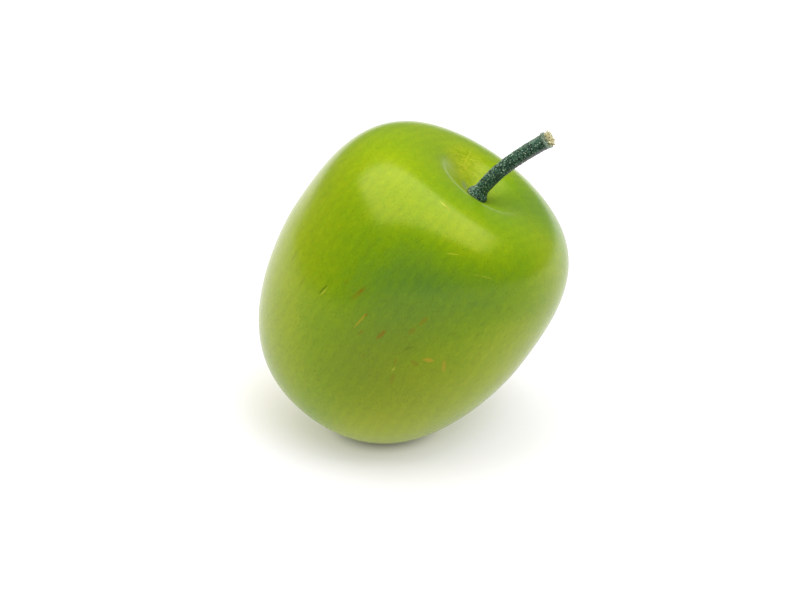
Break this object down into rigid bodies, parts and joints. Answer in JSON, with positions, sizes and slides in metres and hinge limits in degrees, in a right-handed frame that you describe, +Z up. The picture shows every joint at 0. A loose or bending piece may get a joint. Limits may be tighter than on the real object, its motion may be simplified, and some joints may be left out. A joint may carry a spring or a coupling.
{
  "type": "turned wooden play apple",
  "caption": "Turned wooden play apple in translucent green lacquer, leaning on a small flat spot, with a stiff cord stem glued into its dimple.",
  "frame": {"origin": "middle of the small flat spot that the apple rests on", "axes": "+Z up, out of the surface it rests on; the apple's own axis and its stem lean towards +X; -Y is the side that the picture shows"},
  "size_m": [0.0723, 0.0644, 0.0779],
  "materials": {
    "green_lacquered_wood": "turned close-grained hardwood under a stained green satin lacquer",
    "green_braided_cord": "fine braid, dyed dark green and stiffened",
    "undyed_cord_core": "undyed fibre, frayed at the cut",
    "dried_wood_glue": "dried, slightly yellowed wood glue"
  },
  "bodies": {
    "root": {"apple_body": "green_lacquered_wood", "stem_sheath": "green_braided_cord", "stem_core": "undyed_cord_core", "stem_glue": "dried_wood_glue"}
  },
  "joints": []
}
